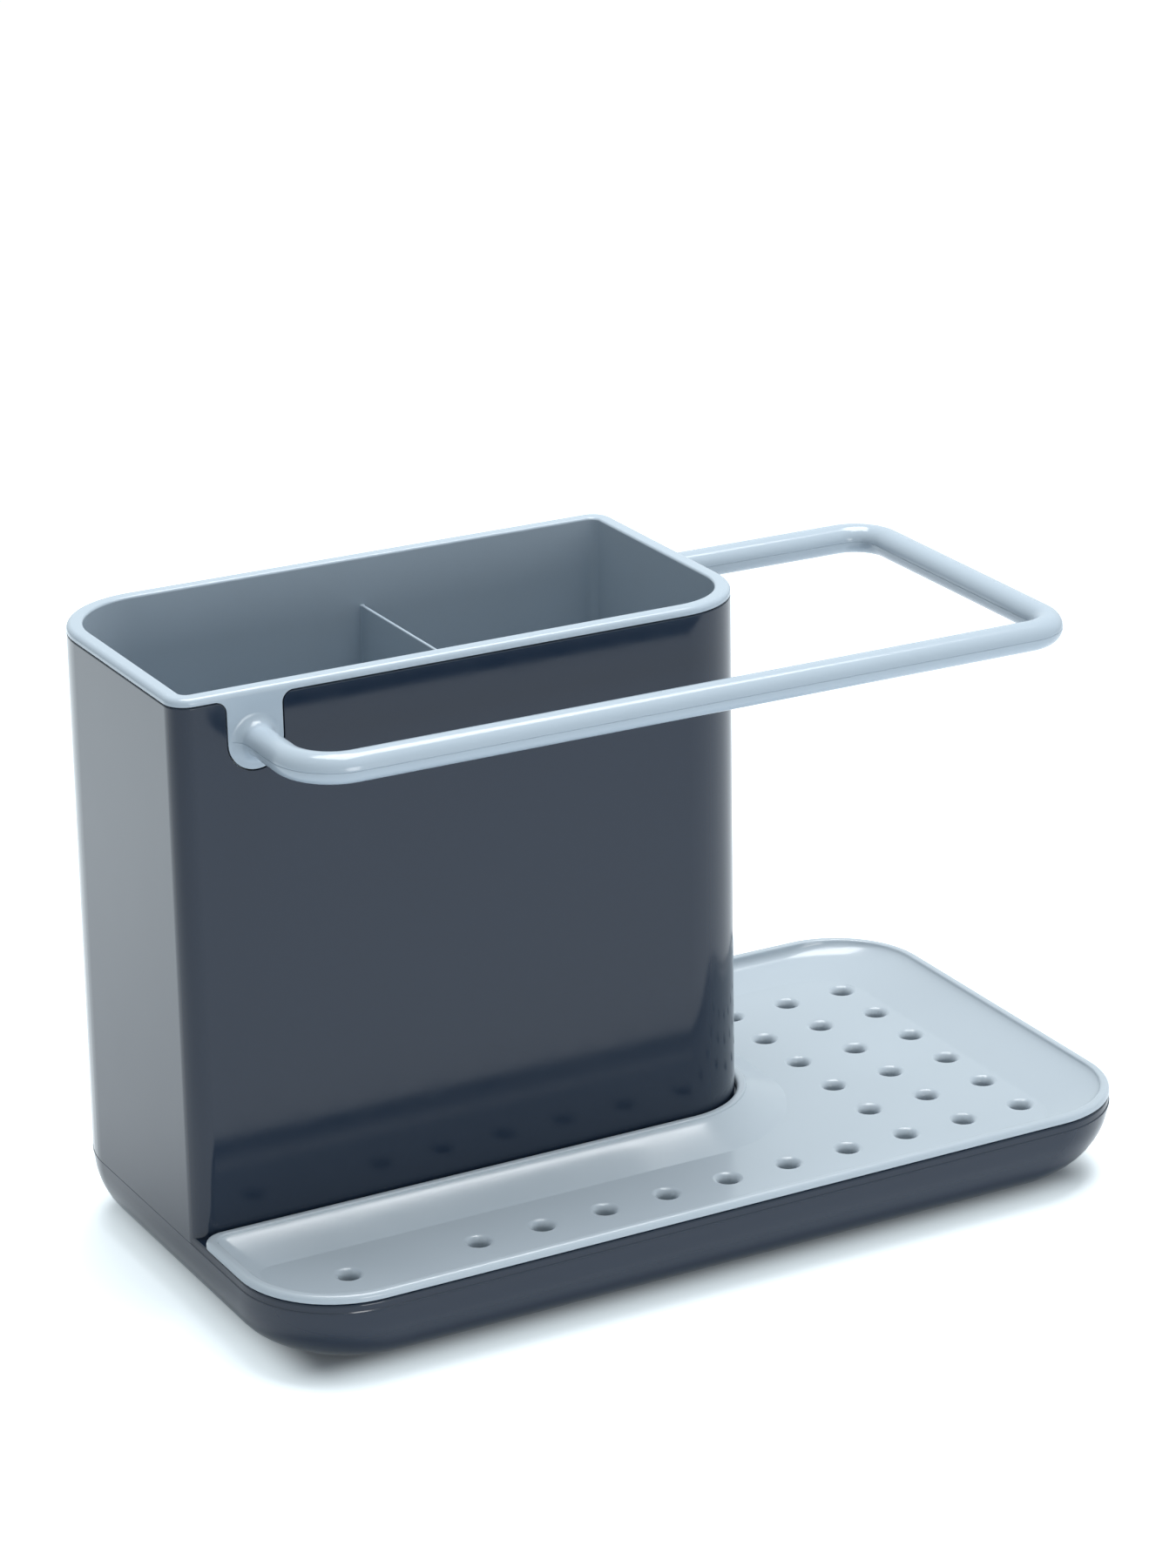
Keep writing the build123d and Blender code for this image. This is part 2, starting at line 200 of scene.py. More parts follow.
@dataclass
class Studio:
    """A white floor under a white sky, with soft light from above and from the front."""

    floor_size: float = 6.0
    floor_colour: Colour = (0.87, 0.93, 0.98, 1.0)
    floor_roughness: float = 0.9
    floor_shine: float = 0.1
    glow_colour: Colour = (0.86, 0.96, 1.0, 1.0)
    world_strength: float = 0.34
    world_colour: Colour = (0.92, 0.98, 1.0, 1.0)
    # Painted reflection: reflections see this bright sky, while the sky that lights the object is
    # the dimmer world colour.
    mirrored_sky: Colour = (0.84, 0.95, 1.0, 1.0)
    # Painted shadow: the floor's glow for the camera is left out under and round the base, so the
    # floor stays dark there whatever the lamps do.
    camera_glow_painted_shadow: Glow = Glow((0.0, 0.0), (0.0875, 0.0425), 0.013, 0.0, 0.6)
    # Painted reflection: the floor glows for reflections only, brightest in a patch at the back
    # left, so the object's faces mirror a floor brighter than its light makes it.
    painted_reflection_glow: Glow = Glow((-0.55, 0.55), (0.25, 0.25), 0.45, 0.95, 0.08)
    lamps: tuple[SoftBox, ...] = (
        SoftBox("top_box", (0.16, 0.1, 1.22), (0.0, 0.0, 0.05), 0.8, 17.5),
        SoftBox("front_box", (0.1, -1.2, 0.12), (0.0, 0.0, 0.06), 0.5, 4.6),
    )

    def build(self) -> None:
        """Lay the floor, set the world and hang the lamps."""
        self._floor()
        self._world()
        for lamp in self.lamps:
            lamp.build()
        bpy.context.scene.view_settings.view_transform = "Standard"

    def _floor(self) -> None:
        """Lay a pale floor that the camera sees as white, but for a painted shadow round the base
        where its glow is left out, and with a painted bright patch at the back left that only
        reflections see.
        """
        mesh = bpy.data.meshes.new("floor")
        form = bmesh.new()
        bmesh.ops.create_grid(form, x_segments=1, y_segments=1, size=self.floor_size / 2)
        form.to_mesh(mesh)
        form.free()
        floor = bpy.data.objects.new("floor", mesh)
        bpy.context.scene.collection.objects.link(floor)
        material = bpy.data.materials.new("floor_white")
        material.use_nodes = True
        tree = material.node_tree
        shader = tree.nodes["Principled BSDF"]
        values = {
            "Base Color": self.floor_colour,
            "Roughness": self.floor_roughness,
            "Specular IOR Level": self.floor_shine,
            "Emission Color": self.glow_colour,
        }
        set_inputs(shader, values)
        path = tree.nodes.new("ShaderNodeLightPath")
        seen = self._glow(tree, self.camera_glow_painted_shadow, path.outputs["Is Camera Ray"])
        mirrored = self._glow(tree, self.painted_reflection_glow, path.outputs["Is Glossy Ray"])
        both = self._maths(tree, "ADD", seen, mirrored)
        tree.links.new(both, shader.inputs["Emission Strength"])
        mesh.materials.append(material)

    @staticmethod
    def _maths(tree: Tree, operation: str, first: Socket, second: Socket | float) -> Socket:
        """Join two values by one operation.

        Args:
            tree: The node tree.
            operation: The operation.
            first: The first value.
            second: The second value.

        Returns:
            The socket with the result.
        """
        node = tree.nodes.new("ShaderNodeMath")
        node.operation = operation
        tree.links.new(first, node.inputs[0])
        if isinstance(second, float):
            node.inputs[1].default_value = second
        else:
            tree.links.new(second, node.inputs[1])
        return node.outputs[0]

    def _glow(self, tree: Tree, glow: Glow, rays: Socket) -> Socket:
        """Work out a glow's strength over the floor, for one kind of ray.

        Args:
            tree: The floor's node tree.
            glow: The glow.
            rays: The socket that tells the kind of ray.

        Returns:
            The socket with the strength.
        """
        place = tree.nodes.new("ShaderNodeTexCoord")
        parts = tree.nodes.new("ShaderNodeSeparateXYZ")
        tree.links.new(place.outputs["Object"], parts.inputs[0])
        squares = []
        for axis in (0, 1):
            off = self._maths(tree, "SUBTRACT", parts.outputs[axis], glow.middle[axis])
            far = self._maths(tree, "ABSOLUTE", off, 0.0)
            beyond = self._maths(tree, "SUBTRACT", far, glow.half[axis])
            beyond = self._maths(tree, "MAXIMUM", beyond, 0.0)
            squares.append(self._maths(tree, "MULTIPLY", beyond, beyond))
        total = self._maths(tree, "ADD", *squares)
        distance = self._maths(tree, "POWER", total, 0.5)
        blend = tree.nodes.new("ShaderNodeMapRange")
        blend.interpolation_type = "SMOOTHSTEP"
        set_inputs(blend, dict(zip(SPAN, (0.0, glow.fade, glow.inside, glow.outside))))
        tree.links.new(distance, blend.inputs["Value"])
        return self._maths(tree, "MULTIPLY", blend.outputs["Result"], rays)

    def _world(self) -> None:
        """Give the world a soft grey light, a brighter sky that only reflections see, which is a
        painted reflection, and a white look behind the object.
        """
        world = bpy.data.worlds.new("studio_world")
        bpy.context.scene.world = world
        world.use_nodes = True
        tree = world.node_tree
        tree.nodes.clear()
        light = tree.nodes.new("ShaderNodeBackground")
        set_inputs(light, {"Color": self.world_colour, "Strength": self.world_strength})
        path = tree.nodes.new("ShaderNodeLightPath")
        shown = light.outputs[0]
        for ray, colour in (("Is Glossy Ray", self.mirrored_sky), ("Is Camera Ray", WHITE)):
            sky = tree.nodes.new("ShaderNodeBackground")
            set_inputs(sky, {"Color": colour})
            mix = tree.nodes.new("ShaderNodeMixShader")
            tree.links.new(path.outputs[ray], mix.inputs["Fac"])
            tree.links.new(shown, mix.inputs[1])
            tree.links.new(sky.outputs[0], mix.inputs[2])
            shown = mix.outputs[0]
        out = tree.nodes.new("ShaderNodeOutputWorld")
        tree.links.new(shown, out.inputs["Surface"])


@dataclass(frozen=True)
class Turn:
    """A corner of an outline and the radius that rounds it, in millimetres."""

    x: float
    y: float
    radius: float


@dataclass(frozen=True)
class Sides:
    """The four sides of an upright form at one level, in millimetres."""

    left: float
    front: float
    right: float
    back: float

    def drawn_in(self, by: float) -> "Sides":
        """Draw every side in by the same distance."""
        return Sides(self.left + by, self.front + by, self.right - by, self.back - by)

    def kept_in(self, bowl: "Sides") -> "Sides":
        """Keep the left and the back side inside those of the bowl."""
        left, back = max(self.left, bowl.left), min(self.back, bowl.back)
        return Sides(left, self.front, self.right, back)

    def towards(self, other: "Sides", share: float) -> "Sides":
        """Move every side by a share of its way to another form's side."""
        pairs = zip(astuple(self), astuple(other))
        return Sides(*(own + (its - own) * share for own, its in pairs))

    def turns(self, radii: tuple[float, ...], *notch: float) -> list[Turn]:
        """List the corners from the front left one on, anticlockwise from above.

        Args:
            radii: The radius of each corner, in the same order.
            notch: The x and y of the inward corner of an L that is open at the back left.

        Returns:
            The four corners, or the six of the L.
        """
        x, y = notch or (self.left, self.back)
        places = [(self.left, self.front), (self.right, self.front), (self.right, self.back)]
        places += [(x, self.back), (x, y), (self.left, y)] if notch else [(x, y)]
        return [Turn(*place, radius) for place, radius in zip(places, radii)]


def new_verts(geom: list) -> Ring:
    """Pick the points out of what a bmesh operator hands back."""
    return [item for item in geom if isinstance(item, bmesh.types.BMVert)]


def extrude(form: Form, edges: list[bmesh.types.BMEdge]) -> Ring:
    """Extrude edges where they are, and hand back the new points."""
    return new_verts(bmesh.ops.extrude_edge_only(form, edges=edges)["geom"])


def ring_edges(ring: Ring) -> list[bmesh.types.BMEdge]:
    """List the edges that join the points of a ring to each other."""
    inside = set(ring)
    return [
        edge
        for vert in ring
        for edge in vert.link_edges
        if edge.verts[0] == vert and edge.verts[1] in inside
    ]


def bevel(form: Form, geom: list, offset: float, affect: str, segments: int) -> None:
    """Round corners or edges of a form.

    Args:
        form: The form.
        geom: The corners or the edges.
        offset: How far from them the rounding starts.
        affect: VERTICES for corners, EDGES for edges.
        segments: How many straight pieces make the rounding.
    """
    bmesh.ops.bevel(
        form,
        geom=geom,
        offset=offset,
        offset_type="OFFSET",
        affect=affect,
        segments=segments,
        profile=0.5,
        material=-1,
    )


def round_corners(form: Form, verts: Ring, turns: list[Turn], segments: int) -> None:
    """Round the corners of a flat form, but for those with no radius.

    Args:
        form: The form.
        verts: Its corners.
        turns: Their radii, in the same order.
        segments: How many straight pieces make each corner.
    """
    for vert, turn in zip(verts, turns):
        if turn.radius > 0.0:
            bevel(form, [vert], turn.radius, "VERTICES", segments)


def outline(turns: list[Turn], z: float, segments: int = CORNER_STEPS) -> list[Vector]:
    """Round the corners of a level outline.

    Args:
        turns: The corners, in order.
        z: The outline's height in millimetres.
        segments: How many straight pieces make each corner.

    Returns:
        The outline's points, in order.
    """
    form = bmesh.new()
    verts = [form.verts.new((turn.x, turn.y, z)) for turn in turns]
    form.faces.new(verts)
    round_corners(form, verts, turns, segments)
    form.faces.ensure_lookup_table()
    points = [vert.co.copy() for vert in form.faces[0].verts]
    form.free()
    return points


def to_mesh(form: Form, name: str) -> Mesh:
    """Turn a form in millimetres into a mesh in metres, and free the form.

    Args:
        form: The form.
        name: The mesh's name.

    Returns:
        The mesh, its faces outwards.
    """
    bmesh.ops.scale(form, vec=(MM, MM, MM), verts=form.verts)
    bmesh.ops.recalc_face_normals(form, faces=form.faces)
    mesh = bpy.data.meshes.new(name)
    form.to_mesh(mesh)
    form.free()
    return mesh


def stack(outlines: list[list[Vector]], name: str) -> Mesh:
    """Grow a closed skin from each outline to the next.

    Args:
        outlines: The outlines in millimetres, all with the same number of points.
        name: The mesh's name.

    Returns:
        The mesh in metres, closed by a flat face at both ends.
    """
    form = bmesh.new()
    loop = [form.verts.new(point) for point in outlines[0]]
    form.faces.new(loop)
    for points in outlines[1:]:
        rim = [form.edges.get(pair) for pair in zip(loop, loop[1:] + loop[:1])]
        fresh = set(extrude(form, rim))
        grown = []
        for vert, point in zip(loop, points):
            ends = [edge.other_vert(vert) for edge in vert.link_edges]
            new = next(end for end in ends if end in fresh)
            new.co = point
            grown.append(new)
        loop = grown
    form.faces.new(loop)
    return to_mesh(form, name)


class Cut(Enum):
    """How one solid mesh changes another."""

    ADD = "UNION"
    TAKE = "DIFFERENCE"


def carve(base: Mesh, steps: list[tuple[Cut, Mesh]]) -> Mesh:
    """Add solids to a mesh and take solids from it, in order.

    Args:
        base: The solid to start from.
        steps: What to do, and with which solid.

    Returns:
        A new mesh with the result.
    """
    scene = bpy.context.scene.collection.objects
    body = bpy.data.objects.new("carved", base)
    scene.link(body)
    tools = []
    for cut, mesh in steps:
        tool = bpy.data.objects.new("tool", mesh)
        scene.link(tool)
        tools.append(tool)
        modifier = body.modifiers.new("step", "BOOLEAN")
        modifier.operation = cut.value
        modifier.solver = "EXACT"
        modifier.object = tool
    graph = bpy.context.evaluated_depsgraph_get()
    result = bpy.data.meshes.new_from_object(body.evaluated_get(graph))
    for spare in [body, *tools]:
        mesh = spare.data
        bpy.data.objects.remove(spare)
        bpy.data.meshes.remove(mesh)
    return result


def arc_steps(count: int) -> Stops:
    """Walk a quarter turn.

    Args:
        count: The number of steps.

    Returns:
        The sine and cosine at each stop, both ends included.
    """
    angles = [math.pi / 2 * step / count for step in range(count + 1)]
    return [(math.sin(angle), math.cos(angle)) for angle in angles]


def edge_round(top: float, radius: float, count: int) -> Stops:
    """Walk a rounded top edge, from its side up.

    Args:
        top: The height of the top.
        radius: The edge's radius.
        count: The number of steps.

    Returns:
        The inset and the height at each stop.
    """
    low = top - radius
    return [(radius * (1 - cosine), low + radius * sine) for sine, cosine in arc_steps(count)]


@dataclass(frozen=True)
class Plan:
    """The measures that the caddy's pieces share, in millimetres."""

    bowl: Sides = Sides(-102.1, -57.0, 102.1, 57.0)
    bowl_bottom: float = 1.5
    bowl_rounding: float = 13.0
    bowl_turn: float = 21.5
    bowl_back_turn: float = 23.2
    bowl_low_turn: float = 28.0
    parting_z: float = 16.6
    rim_z: float = 18.47
    wall: float = 1.6
    sleeve_top: Sides = Sides(-101.5, -14.65, 30.6, 54.25)
    sleeve_foot: Sides = Sides(-102.1, -15.35, 31.3, 57.0)
    sleeve_z: float = 131.5
    sleeve_turns: tuple[float, ...] = (4.6, 18.0, 4.6, 20.4)
    foot_turns: tuple[float, ...] = (4.6, 18.7, 4.6, 23.2)
    least_turn: float = 2.0
    shadow_gap: float = 0.25
    tab_width: float = 11.8
    tab_drop: float = 14.75
    tab_shoulder: float = 2.5
    tab_steps: int = 10
    slot_gap: float = 0.34
    front_tab_x: float = -84.35
    right_tab_y: float = 38.45
    rail_z: float = 123.0

    def share(self, z: float) -> float:
        """Tell how far down the sleeve's slope a height is, from 0 at its top to 1."""
        return (self.sleeve_z - z) / (self.sleeve_z - self.parting_z)

    def stand_out(self, z: float) -> float:
        """Tell how far the sleeve's front stands out past its top edge at a height."""
        return (self.sleeve_top.front - self.sleeve_foot.front) * self.share(z)

    def sleeve_radii(self, z: float, inset: float) -> tuple[float, ...]:
        """Work out the radii of the sleeve's corners.

        Args:
            z: The height.
            inset: The distance inside the sleeve's outer skin.

        Returns:
            The radii, from the front left corner on.
        """
        share = self.share(z)
        pairs = zip(self.sleeve_turns, self.foot_turns)
        return tuple(
            max(top + (foot - top) * share - inset, self.least_turn) for top, foot in pairs
        )

    def bowl_radii(self, z: float, inset: float) -> tuple[float, ...]:
        """Work out the radii of the bowl's corners.

        Args:
            z: The height.
            inset: The distance inside the bowl's outer skin.

        Returns:
            The radii, from the front left corner on.
        """
        height = self.parting_z - self.bowl_bottom
        share = min(max((self.parting_z - z) / height, 0.0), 1.0)
        tops = (self.bowl_turn, self.bowl_turn, self.bowl_turn, self.bowl_back_turn)
        return tuple(top + (self.bowl_low_turn - top) * share - inset for top in tops)

    def bowl_arc(self, inset: float, count: int) -> Stops:
        """Walk the round bottom edge of the bowl, drawn in by inset.

        Args:
            inset: The distance inside the bowl's outer skin.
            count: The number of steps.

        Returns:
            The inset and the height at each stop, from the bottom up.
        """
        radius = self.bowl_rounding - inset
        bottom = self.bowl_bottom + inset
        return [
            (inset + radius * (1 - sine), bottom + radius * (1 - cosine))
            for sine, cosine in arc_steps(count)
        ]

    def tab_form(self, grow: float, top: float, depth: float) -> Form:
        """Make the upright U form of a tab or of its slot, facing the front.

        The form stands at the origin and reaches from y = 0 towards the front.

        Args:
            grow: How much wider it is than the tab, on each side.
            top: The height of its shoulders, in millimetres.
            depth: Its depth from back to front.

        Returns:
            The form.
        """
        half = self.tab_width / 2 + grow
        shoulder = self.tab_shoulder - grow
        low = self.sleeve_z - self.tab_drop - grow
        wide = half + shoulder + 2 * HAIR
        left = [
            Turn(-wide, top + OVERRUN, 0.0),
            Turn(-wide, top, 0.0),
            Turn(-half, top, shoulder),
            Turn(-half, low, half - HAIR),
        ]
        turns = left + [Turn(-turn.x, turn.y, turn.radius) for turn in reversed(left)]
        form = bmesh.new()
        verts = [form.verts.new((turn.x, 0.0, turn.y)) for turn in turns]
        form.faces.new(verts)
        round_corners(form, verts, turns, self.tab_steps)
        fresh = new_verts(bmesh.ops.extrude_face_region(form, geom=form.faces[:])["geom"])
        bmesh.ops.translate(form, vec=(0.0, -depth, 0.0), verts=fresh)
        return form

    def set_in(self, form: Form, sunk: float, front: bool) -> Mesh:
        """Move the form of a tab or of its slot to its place on the sleeve.

        Args:
            form: The form, as tab_form makes it.
            sunk: How far inside the sleeve's top edge its back lies.
            front: Whether it is the front one, or else the right one.

        Returns:
            The mesh in metres.
        """
        place = (self.front_tab_x, self.sleeve_top.front + sunk, 0.0)
        if not front:
            quarter = Matrix.Rotation(math.pi / 2, 3, "Z")
            bmesh.ops.rotate(form, cent=(0.0, 0.0, 0.0), matrix=quarter, verts=form.verts)
            place = (self.sleeve_top.right - sunk, self.right_tab_y, 0.0)
        bmesh.ops.translate(form, vec=place, verts=form.verts)
        return to_mesh(form, "set_in")


@dataclass
class OuterHousing:
    """The dark moulding: a low bowl with a tall sleeve on its back left part.

    The seam is a list of points, each an inset and a height over the parting line.
    """

    plan: Plan
    seam: tuple[tuple[float, float], ...] = (
        (0.0, -0.2),
        (-0.08, -0.1),
        (-0.08, 0.1),
        (0.12, 0.25),
    )
    rim_round: float = 0.6
    sleeve_edge: float = 0.3
    hollow_taper: float = 0.4
    taper_end: float = 1.1
    slot_clear: float = 0.3
    ledge: float = 1.6
    foot_place: tuple[float, float] = (77.2, 32.1)
    foot_radius: float = 6.02
    foot_seat: float = 0.7
    foot_steps: int = 48
    bottom_steps: int = 12
    rim_steps: int = 5
    edge_steps: int = 3
    hollow_steps: int = 6
    well_steps: int = 8

    def build(self) -> Piece:
        """Build the moulding.

        Returns:
            The piece, which stands for its CAD node.
        """
        plan = self.plan
        depth = plan.wall + self.slot_clear
        slots = []
        for front in (True, False):
            form = plan.tab_form(plan.slot_gap, plan.sleeve_z + HAIR, depth + OVERRUN)
            slots.append(plan.set_in(form, depth, front))
        rooms = [self._hollow(), self._well(), *slots, self._foot_seats()]
        steps = [(Cut.ADD, self._sleeve())] + [(Cut.TAKE, room) for room in rooms]
        return add_piece("housing_moulding", carve(self._bowl(), steps), "outer_housing", "housing")

    def _bowl(self) -> Mesh:
        """Shape the bowl's outer skin, with its seam and its rounded rim.

        Returns:
            The mesh in metres.
        """
        plan = self.plan
        levels = plan.bowl_arc(0.0, self.bottom_steps)
        levels += [(inset, plan.parting_z + height) for inset, height in self.seam]
        rim = edge_round(plan.rim_z, self.rim_round, self.rim_steps)
        levels += [(self.seam[-1][0] + inset, z) for inset, z in rim]
        outlines = [
            outline(plan.bowl.drawn_in(inset).turns(plan.bowl_radii(z, inset)), z)
            for inset, z in levels
        ]
        return stack(outlines, "bowl")

    def _sleeve(self) -> Mesh:
        """Shape the sleeve's outer skin.

        Returns:
            The mesh in metres.
        """
        plan = self.plan
        edge = edge_round(plan.sleeve_z, self.sleeve_edge, self.edge_steps)
        outlines = []
        for inset, z in [(0.0, plan.parting_z), *edge]:
            sides = plan.sleeve_top.towards(plan.sleeve_foot, plan.share(z)).drawn_in(inset)
            outlines.append(outline(sides.turns(plan.sleeve_radii(z, inset)), z))
        return stack(outlines, "sleeve")

    def _hollow(self) -> Mesh:
        """Shape the room inside the sleeve, which follows the bowl's round bottom.

        Returns:
            The mesh in metres.
        """
        plan = self.plan
        inner = plan.sleeve_top.drawn_in(plan.wall)
        levels = plan.bowl_arc(plan.wall, self.hollow_steps)
        levels.append((plan.wall, plan.sleeve_z + OVERRUN))
        outlines = []
        for inset, z in levels:
            taper = self.hollow_taper * min(plan.share(z), self.taper_end)
            sides = inner.drawn_in(taper).kept_in(plan.bowl.drawn_in(inset))
            outlines.append(outline(sides.turns(plan.sleeve_radii(z, plan.wall)), z))
        return stack(outlines, "hollow")

    def _well(self) -> Mesh:
        """Shape the L of room under the tray.

        Returns:
            The mesh in metres.
        """
        plan = self.plan
        notch = (plan.sleeve_foot.right + self.ledge, plan.sleeve_foot.front - self.ledge)
        end, turn = plan.least_turn, plan.foot_turns[1] + self.ledge
        levels = plan.bowl_arc(plan.wall, self.well_steps)
        levels.append((plan.wall, plan.rim_z + OVERRUN))
        outlines = []
        for inset, z in levels:
            radii = (*plan.bowl_radii(z, inset)[:3], end, turn, end)
            outlines.append(outline(plan.bowl.drawn_in(inset).turns(radii, *notch), z))
        return stack(outlines, "well")

    def _foot_seats(self) -> Mesh:
        """Shape the four round recesses that the feet are set in.

        Returns:
            The mesh in metres.
        """
        form = bmesh.new()
        x, y = self.foot_place
        middle = self.plan.bowl_bottom + (self.foot_seat - OVERRUN) / 2
        for place in ((-x, -y), (x, -y), (x, y), (-x, y)):
            bmesh.ops.create_cone(
                form,
                cap_ends=True,
                segments=self.foot_steps,
                radius1=self.foot_radius,
                radius2=self.foot_radius,
                depth=self.foot_seat + OVERRUN,
                matrix=Matrix.Translation((*place, middle)),
            )
        return to_mesh(form, "foot_seats")


@dataclass
class InnerLiner:
    """The pale lift-out cup, with its rim, its divider and the tabs for the rail."""

    plan: Plan
    gap: float = 0.3
    wall: float = 1.5
    taper: float = 0.8
    floor_gap: float = 1.0
    floor_steps: int = 6
    rim_top: float = 133.3
    rim_round: float = 1.15
    rim_steps: int = 6
    mouth_round: float = 0.6
    mouth_steps: int = 4
    seat_inset: float = 0.9
    tab_root: float = 0.7
    divider_x: float = -29.2
    divider_width: float = 2.0
    divider_draft: float = 0.64
    divider_top: float = 122.8
    divider_round: float = 0.35
    divider_foot: float = 0.6
    divider_turn: float = 0.54
    divider_end_turn: float = 0.1
    divider_sunk: float = 0.6
    divider_steps: int = 4

    def build(self) -> Piece:
        """Build the liner.

        Returns:
            The piece, which stands for its CAD node.
        """
        parts = [self._divider(), self._tab(front=True), self._tab(front=False)]
        steps = [(Cut.ADD, part) for part in parts]
        return add_piece("liner_moulding", carve(self._cup(), steps), "inner_liner", "liner")

    def _cup_sides(self, inset: float, z: float, bowl_inset: float) -> Sides:
        """Work out the cup's sides at a height.

        Args:
            inset: The distance inside the sleeve's outer skin, at the top.
            z: The height.
            bowl_inset: The distance to keep inside the bowl's outer skin.

        Returns:
            The sides.
        """
        plan = self.plan
        sides = plan.sleeve_top.drawn_in(inset + self.taper * plan.share(z))
        return sides.kept_in(plan.bowl.drawn_in(bowl_inset))

    def _cup(self) -> Mesh:
        """Shape the cup from the outside of its floor, over its rim, to the inside.

        Returns:
            The mesh in metres.
        """
        plan = self.plan
        top = plan.sleeve_top
        outer = plan.wall + self.gap
        inner = outer + self.wall
        clear = plan.wall + self.floor_gap
        seat_z = plan.sleeve_z
        shadow_z = seat_z + plan.shadow_gap
        levels: list[tuple[Sides, float, float]] = []
        for inset, z in plan.bowl_arc(clear, self.floor_steps) + [(0.0, seat_z)]:
            levels.append((self._cup_sides(outer, z, inset), z, outer))
        brim = [(self.seat_inset, seat_z), (self.seat_inset, shadow_z), (0.0, shadow_z)]
        brim += edge_round(self.rim_top, self.rim_round, self.rim_steps)
        mouth = edge_round(self.rim_top, self.mouth_round, self.mouth_steps)
        brim += [(inner - inset, z) for inset, z in reversed(mouth)]
        levels += [(top.drawn_in(inset), z, inset) for inset, z in brim]
        for inset, z in reversed(plan.bowl_arc(clear + self.wall, self.floor_steps)):
            levels.append((self._cup_sides(inner, z, inset), z, inner))
        outlines = [
            outline(sides.turns(plan.sleeve_radii(z, inset)), z) for sides, z, inset in levels
        ]
        return stack(outlines, "cup")

    def _divider(self) -> Mesh:
        """Shape the low divider, with soft corners where it meets the walls.

        Returns:
            The mesh in metres.
        """
        plan = self.plan
        sunk = plan.wall + self.floor_gap + self.wall - self.divider_sunk
        levels = [
            (0.0, plan.bowl.back - inset, z)
            for inset, z in plan.bowl_arc(sunk, self.floor_steps)
        ]
        crest = edge_round(self.divider_top, self.divider_round, self.divider_steps)
        levels += [(self.divider_draft + inset, plan.bowl.back, z) for inset, z in crest]
        outlines = [
            outline(self._divider_turns(inset, back), z, self.divider_steps)
            for inset, back, z in levels
        ]
        return stack(outlines, "divider")

    def _divider_turns(self, inset: float, back: float) -> list[Turn]:
        """List the corners of the divider, which is I-shaped from above.

        Args:
            inset: How much each of its two faces is drawn in.
            back: How far back it may reach, inside the round bottom edge.

        Returns:
            The corners.
        """
        plan = self.plan
        sunk, foot, middle = self.divider_sunk, self.divider_foot, self.divider_x
        walls = plan.sleeve_top.drawn_in(plan.wall + self.gap + self.wall - sunk)
        front, back = walls.front, min(back, walls.back)
        half = self.divider_width / 2 - inset
        near, far = front + sunk + foot, back - sunk - foot
        turn, end = self.divider_turn, self.divider_end_turn
        return [
            Turn(middle - half - foot, front, end),
            Turn(middle + half + foot, front, end),
            Turn(middle + half, near, turn),
            Turn(middle + half, far, turn),
            Turn(middle + half + foot, back, end),
            Turn(middle - half - foot, back, end),
            Turn(middle - half, far, turn),
            Turn(middle - half, near, turn),
        ]

    def _tab(self, front: bool) -> Mesh:
        """Shape a tab, level with the sleeve's skin below the rim.

        Args:
            front: Whether it is the front tab, or else the right one.

        Returns:
            The tab, its outer face on the sleeve's slope.
        """
        plan = self.plan
        sunk = plan.wall + self.gap + self.tab_root
        form = plan.tab_form(0.0, plan.sleeve_z + plan.shadow_gap, sunk)
        for vert in form.verts:
            vert.co.z = min(vert.co.z, self.rim_top - self.rim_round)
            if vert.co.y < -sunk / 2:
                vert.co.y -= plan.stand_out(vert.co.z)
        return plan.set_in(form, sunk, front)


